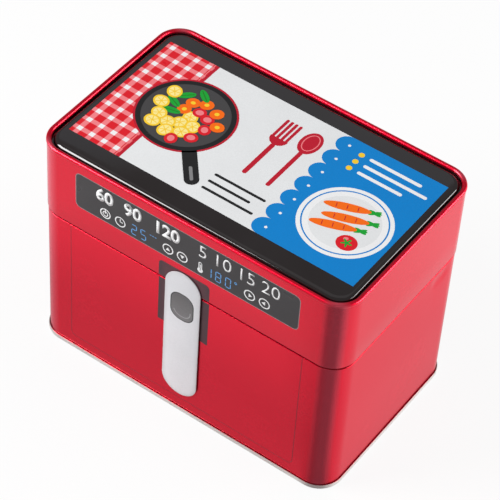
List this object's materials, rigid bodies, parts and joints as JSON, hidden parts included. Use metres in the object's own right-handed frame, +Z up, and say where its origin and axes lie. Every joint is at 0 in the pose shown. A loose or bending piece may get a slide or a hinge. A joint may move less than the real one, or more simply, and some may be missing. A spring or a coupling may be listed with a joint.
{
  "type": "recipe box",
  "caption": "Rectangular tinplate recipe box with rounded corners, a deep hinged lid, a raised black top panel and a front handle plate, holding tabbed dividers and packs of index cards.",
  "frame": {"origin": "centre of the bounding box on the surface that the box stands on", "axes": "+Z up, front towards -Y, hinge at the back along X"},
  "size_m": [0.172, 0.1088, 0.1275],
  "materials": {
    "red_lacquer": "satin metallic red lacquer on tinplate",
    "black_gloss": "glossy black printed tinplate",
    "bare_tinplate": "bright bare tinplate",
    "pale_lacquer": "satin pale grey lacquer",
    "card_stock": "matt white card",
    "divider_green": "matt coloured card",
    "divider_orange": "matt coloured card",
    "divider_yellow": "matt coloured card",
    "divider_blue": "matt coloured card",
    "divider_red": "matt coloured card"
  },
  "bodies": {
    "body": {"base_panel": "bare_tinplate", "body_wall": "red_lacquer", "handle_plate": "pale_lacquer", "body_hinge_leaf": "red_lacquer", "hinge_wire": "bare_tinplate"},
    "lid": {"lid_wall": "red_lacquer", "lid_panel": "black_gloss", "lid_hinge_leaf": "red_lacquer"},
    "section_1": {"section_divider_1": "divider_green", "recipe_cards_1": "card_stock"},
    "section_2": {"section_divider_2": "divider_orange", "recipe_cards_2": "card_stock"},
    "section_3": {"section_divider_3": "divider_yellow", "recipe_cards_3": "card_stock"},
    "section_4": {"section_divider_4": "divider_blue", "recipe_cards_4": "card_stock"},
    "section_5": {"section_divider_5": "divider_red", "recipe_cards_5": "card_stock"},
    "blank_section": {"blank_cards": "card_stock"}
  },
  "joints": [
    {"name": "lid_hinge", "type": "hinge", "parent": "body", "child": "lid", "pos_m": [0, 0.053, 0.0855], "axis": [-1, 0, 0], "range_deg": [0, 105]},
    {"name": "blank_section_lean", "type": "hinge", "parent": "body", "child": "blank_section", "pos_m": [0, 0.03236, 0.0036], "axis": [1, 0, 0], "range_deg": [0, 18]},
    {"name": "section_1_lean", "type": "hinge", "parent": "body", "child": "section_1", "pos_m": [0, -0.01574, 0.0036], "axis": [1, 0, 0], "range_deg": [0, 18]},
    {"name": "section_2_lean", "type": "hinge", "parent": "body", "child": "section_2", "pos_m": [0, -0.00579, 0.0036], "axis": [1, 0, 0], "range_deg": [0, 18]},
    {"name": "section_3_lean", "type": "hinge", "parent": "body", "child": "section_3", "pos_m": [0, 0.00416, 0.0036], "axis": [1, 0, 0], "range_deg": [0, 18]},
    {"name": "section_4_lean", "type": "hinge", "parent": "body", "child": "section_4", "pos_m": [0, 0.01356, 0.0036], "axis": [1, 0, 0], "range_deg": [0, 18]},
    {"name": "section_5_lean", "type": "hinge", "parent": "body", "child": "section_5", "pos_m": [0, 0.02296, 0.0036], "axis": [1, 0, 0], "range_deg": [0, 18]}
  ],
  "couplings": [
    {"joint": "section_1_lean", "follows": "blank_section_lean", "ratio": 1},
    {"joint": "section_2_lean", "follows": "blank_section_lean", "ratio": 1},
    {"joint": "section_3_lean", "follows": "blank_section_lean", "ratio": 1},
    {"joint": "section_4_lean", "follows": "blank_section_lean", "ratio": 1},
    {"joint": "section_5_lean", "follows": "blank_section_lean", "ratio": 1}
  ]
}
